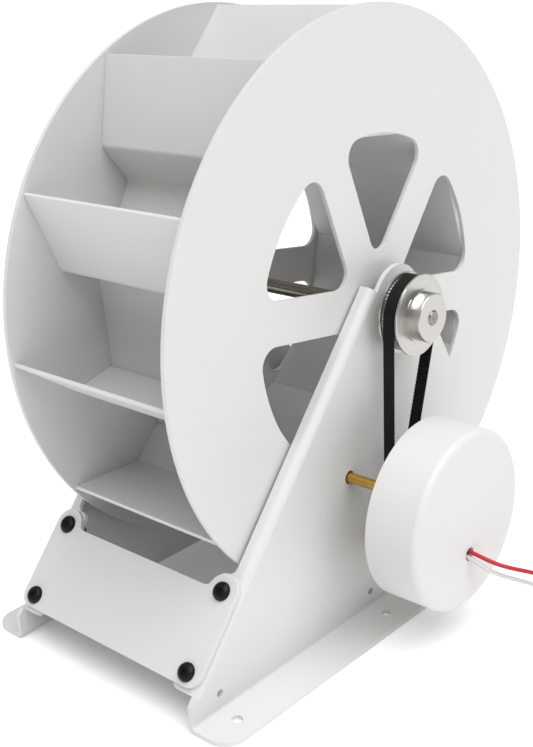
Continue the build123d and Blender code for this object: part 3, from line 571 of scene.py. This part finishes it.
def make_piece(name, bm, body, material, stands_for=(), smooth=40.0, weighted=True):
    mesh = bpy.data.meshes.new(name)
    bm.to_mesh(mesh)
    bm.free()
    mesh.polygons.foreach_set("use_smooth", [True] * len(mesh.polygons))
    mesh.set_sharp_from_angle(angle=math.radians(smooth))
    mesh.materials.append(material)
    piece = bpy.data.objects.new(name, mesh)
    scene.collection.objects.link(piece)
    if weighted:
        even = piece.modifiers.new("even shading", "WEIGHTED_NORMAL")
        even.keep_sharp = True
    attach(piece, body)
    if stands_for:
        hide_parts(*stands_for)
    print(name, len(mesh.polygons), "faces")
    return piece


coat_radius = 0.0004
folded_edge = 0.0005
moulded_edge = 0.0003
machined_edge = 0.00015
print("sheet helpers ready")

# %% [markdown]
# The wheel's two side discs are laser-cut rings with six windows. Each window has straight
# sides that leave a spoke of even width, a round inner end, an outer arc and two rounded
# outer corners. The corner centres follow from the spoke, the arc and the corner radius,
# so one drawing, turned six times, cuts all the windows.

# %% Side discs
wheel_radius = 0.150
disc_thickness = 0.0025
window_radius = 0.088
window_count = 6
window_first = 83.0
spoke_width = 0.022
window_tip_radius = 0.0075
window_corner_radius = 0.009
shaft_bore = 0.0042


def window_outline(bm, y, facing):
    half = 180.0 / window_count
    side = spoke_width / 2
    along = math.sqrt((window_radius - window_corner_radius) ** 2 - (side + window_corner_radius) ** 2)
    corner_at = half - math.degrees(math.atan2(side + window_corner_radius, along))
    corner = polar(window_radius - window_corner_radius, corner_at)
    corner_low = polar(window_radius - window_corner_radius, -corner_at)
    tip = ((side + window_tip_radius) / math.sin(math.radians(half)), 0.0)
    tip_edge = polar(window_tip_radius, half + 90.0)
    side_turn = half + 90.0 - corner_at
    pen = Pen(bm, y)
    pen.start(turn(polar(window_radius, -corner_at), facing))
    pen.swing((0.0, 0.0), 2 * corner_at, 14)
    pen.swing(turn(corner, facing), side_turn, 8)
    pen.line(turn((tip[0] + tip_edge[0], tip_edge[1]), facing))
    pen.swing(turn(tip, facing), 360.0 - 2 * (half + 90.0), 10)
    end = polar(window_corner_radius, -half - 90.0)
    pen.line(turn((corner_low[0] + end[0], corner_low[1] + end[1]), facing))
    pen.swing(turn(corner_low, facing), side_turn, 8)
    pen.close()


def side_disc(name, node, body_y, outward):
    bm = bmesh.new()
    pen = Pen(bm, body_y)
    pen.start((wheel_radius, 0.0)).swing((0.0, 0.0), 360.0, 216).close()
    pen = Pen(bm, body_y)
    pen.start((shaft_bore, 0.0)).swing((0.0, 0.0), 360.0, 32).close()
    for index in range(window_count):
        window_outline(bm, body_y, window_first + index * 360.0 / window_count)
    fill_and_thicken(bm, disc_thickness, (0.0, -outward, 0.0))
    soften(bm, coat_radius)
    return make_piece(name, bm, "wheel", white_coat, [node])


near_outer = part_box("near_disc")[0][1]
far_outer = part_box("far_disc")[1][1]
side_disc("near_side_disc", "near_disc", near_outer, -1.0)
side_disc("far_side_disc", "far_disc", far_outer, 1.0)

# %% [markdown]
# A bucket is one strip of sheet metal, folded twice: a lip that leans into the water, a
# steeper throat, and a flat sole that runs on to the next bucket. Drawing the folded line,
# pulling it across the wheel and giving it thickness is exactly how the real one is made.

# %% Buckets
bucket_count = 11
bucket_sheet = 0.0020
bucket_first = 87.1
bucket_step = 360.0 / bucket_count
lip_radius = 0.1488
fold_radius, fold_lag = 0.117, 14.0
sole_radius, sole_lag = 0.092, 15.5
bend_radius = 0.003
sole_over = 0.00025
inner_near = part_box("near_disc")[1][1]
inner_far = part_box("far_disc")[0][1]


def rounded_line(pen, points, radius, steps):
    """Draws a polyline whose inner corners are rounded with one radius."""
    vectors = [Vector(point) for point in points]
    pen.start(vectors[0])
    for before, corner, after in zip(vectors, vectors[1:], vectors[2:]):
        coming = (corner - before).normalized()
        going = (after - corner).normalized()
        bend = math.atan2(coming.cross(going), coming.dot(going))
        reach = radius * math.tan(abs(bend) / 2)
        side = Vector((-coming.y, coming.x)) * math.copysign(radius, bend)
        entry = corner - coming * reach
        pen.line(entry)
        pen.swing(entry + side, math.degrees(bend), steps)
    pen.line(vectors[-1])


def bucket(index):
    lip = bucket_first + index * bucket_step
    start = Vector(polar(sole_radius, lip + sole_lag))
    end = Vector(polar(sole_radius, lip + sole_lag + bucket_step))
    chord = (end - start).length
    sole_end = start + (end - start) * ((chord + sole_over) / chord)
    bm = bmesh.new()
    pen = Pen(bm, inner_near)
    line = [polar(lip_radius, lip), polar(fold_radius, lip + fold_lag), start, sole_end]
    rounded_line(pen, line, bend_radius, 5)
    pulled = bmesh.ops.extrude_edge_only(bm, edges=bm.edges[:])
    moved = [part for part in pulled["geom"] if isinstance(part, bmesh.types.BMVert)]
    bmesh.ops.translate(bm, verts=moved, vec=(0.0, inner_far - inner_near, 0.0))
    bmesh.ops.recalc_face_normals(bm, faces=bm.faces[:])
    lean = sum((face.normal * face.calc_area() for face in bm.faces), Vector())
    inward = Vector((-start.x, 0.0, -start.y))
    if lean.dot(inward) > 0:
        bmesh.ops.reverse_faces(bm, faces=bm.faces[:])
    bmesh.ops.solidify(bm, geom=bm.faces[:], thickness=bucket_sheet)
    bmesh.ops.recalc_face_normals(bm, faces=bm.faces[:])
    soften(bm, coat_radius)
    name = f"bucket_{index + 1:02d}"
    return make_piece(f"{name}_sheet", bm, "wheel", white_coat, [name])


for index in range(bucket_count):
    bucket(index)
sample = bpy.data.objects["bucket_01_sheet"]
low = [min(vertex.co[axis] for vertex in sample.data.vertices) for axis in range(3)]
high = [max(vertex.co[axis] for vertex in sample.data.vertices) for axis in range(3)]
print("bucket 1 spans", [round(value, 4) for value in low + high])

# %% [markdown]
# The brackets, the splash plate and the small machined pieces have exact shapes in the CAD
# model already, and drawing them again would only invite mistakes. What they lack is the
# broken edge. So each becomes a copy of its CAD mesh whose loose triangles are merged and
# joined to whole faces, and whose sharp edges are bevelled by about the coat's thickness.

# %% Softened copies of CAD pieces
def softened_copy(node, material, width=0.0, segments=2, sharper_than=35.0, smooth=32.0):
    source = frame["nodes"][node]
    bm = bmesh.new()
    bm.from_mesh(source.data)
    bmesh.ops.remove_doubles(bm, verts=bm.verts[:], dist=2e-6)
    bmesh.ops.dissolve_limit(bm, angle_limit=0.004, verts=bm.verts[:], edges=bm.edges[:])
    if width:
        soften(bm, width, segments, sharper_than)
    body = body_of(source)[0]
    return make_piece(f"{node}_shape", bm, body, material, [node], smooth)


slot_of = {part["node"]: part["material_slot"] for part in frame["record"]["subparts"]}
for folded in ("near_bracket", "far_bracket", "splash_plate"):
    softened_copy(folded, white_coat, folded_edge, 3)
softened_copy("generator_housing", white_plastic, moulded_edge)

# %% [markdown]
# Round pieces are turned, in the model as in the workshop: a line of corners is spun once
# round an upright axis, and the finished shape is laid where it belongs. A screw or a rod
# that comes several times is made once and copied to its places.

# %% Turning and placing
def lathe(bm, corners, steps=64):
    """Spins (radius, height) corners about the Z axis."""
    points = [bm.verts.new((radius, 0.0, height)) for radius, height in corners]
    pairs = list(zip(points, points[1:]))
    if corners[0][0] > 0.0:
        pairs.append((points[-1], points[0]))
    edges = [bm.edges.new(pair) for pair in pairs]
    bmesh.ops.spin(
        bm,
        geom=points + edges,
        cent=(0.0, 0.0, 0.0),
        axis=(0.0, 0.0, 1.0),
        angle=math.tau,
        steps=steps,
        use_merge=True,
    )
    bmesh.ops.remove_doubles(bm, verts=bm.verts[:], dist=1e-7)
    bmesh.ops.recalc_face_normals(bm, faces=bm.faces[:])


def copies(shape, places):
    """One bmesh with a copy of a shape at every place."""
    pattern = bpy.data.meshes.new("pattern")
    shape.to_mesh(pattern)
    shape.free()
    bm = bmesh.new()
    for place in places:
        one = pattern.copy()
        one.transform(place)
        bm.from_mesh(one)
        bpy.data.meshes.remove(one)
    bpy.data.meshes.remove(pattern)
    return bm


def towards_belt(x, y, z):
    """A place whose own Z points at -Y, the belt side."""
    return Matrix.Translation((x, y, z)) @ Matrix.Rotation(math.radians(90.0), 4, "X")


print("lathe ready")

# %% [markdown]
# Four M5 button-head screws hold the splash plate. A button head is a low dome with a
# small upright rim and a hexagon socket. The dome is turned with a round opening at its
# top, a six-sided circle gives the socket, and bridging the two loops closes the top.

# %% Button-head screws
slope_angle = 50.0
screw_rows = (-0.2045, -0.164)
screw_side = 0.0565
plate_outside = 0.022
screw_head_radius, screw_head_height = 0.00475, 0.00275
screw_radius, screw_length = 0.0025, 0.012
hex_key = 0.003


def slope_place(out, along, y):
    """A place on the front slope whose own Z points out of it."""
    x, z = turn((along, out), slope_angle)
    tilt = Matrix.Rotation(math.radians(-slope_angle), 4, "Y")
    return Matrix.Translation((wheel_x + x, y, wheel_z + z)) @ tilt


def button_screw(head_radius, head_height, shank_radius, length, key):
    bm = bmesh.new()
    opening = key / 2 * 1.28
    rim = head_height * 0.16
    corners = [(0.0, -length), (shank_radius * 0.86, -length), (shank_radius, -length + shank_radius * 0.2)]
    corners += [(shank_radius, 0.0), (head_radius * 0.97, 0.0), (head_radius, rim * 0.4), (head_radius, rim)]
    for step in range(1, 8):
        angle = math.radians(step * 90.0 / 7)
        reach = opening + (head_radius - opening) * math.cos(angle)
        corners.append((reach, rim + (head_height - rim) * math.sin(angle)))
    points = [bm.verts.new((radius, 0.0, height)) for radius, height in corners]
    edges = [bm.edges.new(pair) for pair in zip(points, points[1:])]
    bmesh.ops.spin(
        bm,
        geom=points + edges,
        cent=(0.0, 0.0, 0.0),
        axis=(0.0, 0.0, 1.0),
        angle=math.tau,
        steps=48,
        use_merge=True,
    )
    bmesh.ops.remove_doubles(bm, verts=bm.verts[:], dist=1e-7)
    top_ring = [edge for edge in bm.edges if edge.is_boundary]
    corner_radius = key / 2 / math.cos(math.radians(30.0))
    lifted = Matrix.Translation((0.0, 0.0, head_height))
    socket = bmesh.ops.create_circle(bm, cap_ends=True, radius=corner_radius, segments=6, matrix=lifted)
    floor_face = [face for face in bm.faces if all(vert in socket["verts"] for vert in face.verts)]
    sunk = bmesh.ops.extrude_face_region(bm, geom=floor_face)
    moved = [part for part in sunk["geom"] if isinstance(part, bmesh.types.BMVert)]
    bmesh.ops.translate(bm, verts=moved, vec=(0.0, 0.0, -head_height * 0.7))
    bmesh.ops.delete(bm, geom=[face for face in floor_face if face.is_valid], context="FACES_ONLY")
    socket_ring = [edge for edge in bm.edges if edge.is_boundary and edge not in top_ring]
    bmesh.ops.bridge_loops(bm, edges=top_ring + socket_ring)
    bmesh.ops.recalc_face_normals(bm, faces=bm.faces[:])
    return bm


places = [slope_place(plate_outside, row, side * screw_side) for row in screw_rows for side in (-1, 1)]
one_screw = button_screw(screw_head_radius, screw_head_height, screw_radius, screw_length, hex_key)
plate_screws = copies(one_screw, places)
make_piece("button_screws", plate_screws, "frame", black_oxide, ["splash_plate_screws"], 35.0)

# %% [markdown]
# The brass rods that carry the generator are plain turned rods with a small chamfer, and
# the shaft is a ground bar with a chamfered end and the small dimple that the lathe's
# centre left in it. Both need more sides than the small screws, because they catch light.

# %% Brass rods and wheel shaft
rod_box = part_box("brass_standoffs")
rod_circle = 0.0272
rod_first = 144.0
rod_count = 3
rod_radius = 0.00275
rod_cut = 0.0003
rod_back = rod_box[1][1]
rod_front = rod_box[0][1]
stud_radius, stud_length = 0.0015, 0.003
thread_depth = 0.008
rod_length = rod_back - rod_front - stud_length
stud_end = rod_length + stud_length
rod = bmesh.new()
rod_corners = [(0.0, thread_depth), (stud_radius, thread_depth), (stud_radius, 0.0)]
rod_corners += [(rod_radius - rod_cut, 0.0), (rod_radius, rod_cut), (rod_radius, rod_length - rod_cut)]
rod_corners += [(rod_radius - rod_cut, rod_length), (stud_radius, rod_length)]
rod_corners += [(stud_radius, stud_end), (0.0, stud_end)]
lathe(rod, rod_corners, 48)
rod_places = []
for index in range(rod_count):
    x, z = polar(rod_circle, rod_first + index * 360.0 / rod_count)
    rod_places.append(towards_belt(rotor_x + x, rod_back, rotor_z + z))
make_piece("brass_rods", copies(rod, rod_places), "frame", brass, ["brass_standoffs"], 35.0)

shaft_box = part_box("wheel_shaft")
shaft_length = shaft_box[1][1] - shaft_box[0][1]
shaft_radius = 0.004
end_cut = 0.0006
dimple_radius, dimple_depth = 0.0011, 0.0011
dimple_floor_radius, dimple_step = 0.00085, 0.0003
bar = bmesh.new()
bar_corners = [(0.0, 0.0), (shaft_radius - end_cut, 0.0), (shaft_radius, end_cut)]
bar_corners += [(shaft_radius, shaft_length - end_cut), (shaft_radius - end_cut, shaft_length)]
bar_corners += [(dimple_radius, shaft_length), (dimple_floor_radius, shaft_length - dimple_step)]
bar_corners += [(0.0, shaft_length - dimple_depth)]
lathe(bar, bar_corners, 64)
bar.transform(towards_belt(wheel_x, shaft_box[1][1], wheel_z))
make_piece("shaft_bar", bar, "wheel", shaft_metal, ["wheel_shaft"], 35.0)

# %% [markdown]
# The belt is a smooth outer band with a fine round tooth every 2 mm inside. The band runs
# round two circles and two straight lines that touch both, so only the angle of contact
# has to be worked out. Two such lines, one for the back and one for the inside, are filled
# and pulled across the pulley like any other sheet.

# %% Belt band
belt_pitch = 0.002032
belt_teeth = 137
big_teeth, small_teeth = 60, 18
belt_back = 0.00063
belt_gap = 0.0002
belt_edge = 0.00012
tooth_radius = 0.00044
tooth_root = 0.0002
tooth_end_gap = 0.0001
pitch_offset = 0.00025
big_pitch = big_teeth * belt_pitch / math.tau
small_pitch = small_teeth * belt_pitch / math.tau
to_rotor = Vector((rotor_x - wheel_x, rotor_z - wheel_z))
centre_line = math.degrees(math.atan2(to_rotor.y, to_rotor.x))
contact = math.degrees(math.acos((big_pitch - small_pitch) / to_rotor.length))
belt_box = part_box("drive_belt")
belt_front, belt_rear = belt_box[0][1], belt_box[1][1]


def belt_line(bm, offset):
    """One closed line round both pulleys, at an offset from their pitch circles."""
    big = big_pitch + offset
    small = small_pitch + offset
    pen = Pen(bm, belt_front)
    pen.start(polar(big, centre_line + contact))
    pen.swing((0.0, 0.0), 360.0 - 2 * contact, 90)
    x, z = polar(small, centre_line - contact)
    pen.line((to_rotor.x + x, to_rotor.y + z))
    pen.swing(to_rotor, 2 * contact, 40)
    pen.close()


belt = bmesh.new()
belt_line(belt, belt_gap - pitch_offset + belt_back)
belt_line(belt, belt_gap - pitch_offset)
fill_and_thicken(belt, belt_rear - belt_front, (0.0, 1.0, 0.0))
soften(belt, belt_edge, 2, 50.0)
print("belt band with", len(belt.faces), "faces")

# %% [markdown]
# The CAD belt leaves its teeth out where they would stand in the grooves. Here all of them
# are shown, each a short half-round bar laid across the belt. A tooth's place is told by
# how far it has travelled along the band: first round the big pulley, then down a straight
# run, then round the small pulley.

# %% Belt teeth
def tooth_place(travel):
    """Where a tooth sits: travel runs from the far side of the big pulley, either way."""
    side = math.copysign(1.0, travel)
    travel = abs(travel)
    big_reach = big_pitch * math.radians(180.0 - contact)
    straight = math.sqrt(to_rotor.length**2 - (big_pitch - small_pitch) ** 2)
    inset = belt_gap - pitch_offset
    if travel <= big_reach:
        facing = centre_line + side * (180.0 - math.degrees(travel / big_pitch))
        point = Vector(polar(big_pitch + inset, facing))
    elif travel <= big_reach + straight:
        facing = centre_line + side * contact
        along = Vector(polar(travel - big_reach, facing - side * 90.0))
        point = Vector(polar(big_pitch + inset, facing)) + along
    else:
        left = math.degrees((travel - big_reach - straight) / small_pitch)
        facing = centre_line + side * (contact - left)
        point = to_rotor + Vector(polar(small_pitch + inset, facing))
    turned_out = Matrix.Rotation(math.radians(facing), 4, "Z")
    return towards_belt(wheel_x + point.x, 0.0, wheel_z + point.y) @ turned_out


tooth = bmesh.new()
bmesh.ops.create_circle(tooth, cap_ends=True, radius=tooth_radius, segments=16)
bmesh.ops.bisect_plane(
    tooth,
    geom=tooth.verts[:] + tooth.edges[:] + tooth.faces[:],
    plane_co=(tooth_root, 0.0, 0.0),
    plane_no=(1.0, 0.0, 0.0),
    clear_outer=True,
)
pulled = bmesh.ops.extrude_face_region(tooth, geom=tooth.faces[:], use_keep_orig=True)
moved = [part for part in pulled["geom"] if isinstance(part, bmesh.types.BMVert)]
bmesh.ops.translate(tooth, verts=moved, vec=(0.0, 0.0, belt_rear - belt_front - 2 * tooth_end_gap))
bmesh.ops.translate(tooth, verts=tooth.verts[:], vec=(0.0, 0.0, -belt_rear + tooth_end_gap))
bmesh.ops.recalc_face_normals(tooth, faces=tooth.faces[:])
tooth_spots = [tooth_place((index - belt_teeth // 2) * belt_pitch + 1e-9) for index in range(belt_teeth)]
teeth = copies(tooth, tooth_spots)
teeth_mesh = bpy.data.meshes.new("belt_teeth")
teeth.to_mesh(teeth_mesh)
teeth.free()
belt.from_mesh(teeth_mesh)
bpy.data.meshes.remove(teeth_mesh)
make_piece("toothed_belt", belt, "frame", belt_black, ["drive_belt"], 40.0)

# %% [markdown]
# Everything that is left is small or hidden: pulleys, hubs, bushes, bearings and the parts
# inside the generator. They all get the same softened copy, with an edge that suits their
# size, and the finish that their slot in the record names.

# %% Remaining pieces
finishes = {
    "black_screw": black_oxide,
    "zinc_steel": zinc,
    "shaft_steel": shaft_metal,
    "aluminium": pulley_metal,
    "bush_polymer": bush_plastic,
    "nickel": nickel,
    "core_steel": core_steel,
    "copper": coil_copper,
}
on_generator_axis = {"generator_pulley", "generator_back_plate", "stator_post", "rotor_shaft"}
chamfered_in_cad = {"drive_pulley", "generator_pulley", "bearing_balls"}
made = {"near_disc", "far_disc", "splash_plate_screws", "brass_standoffs", "wheel_shaft", "drive_belt"}
made |= {"near_bracket", "far_bracket", "splash_plate", "generator_housing", "red_lead", "white_lead"}
made |= {f"bucket_{index + 1:02d}" for index in range(bucket_count)}
for node in sorted(set(frame["nodes"]) - made):
    material = finishes[slot_of[node]]
    if node in on_generator_axis and material is pulley_metal:
        material = small_pulley_metal
    width = 0.0 if node in chamfered_in_cad else machined_edge
    softened_copy(node, material, width, 2, 50.0)
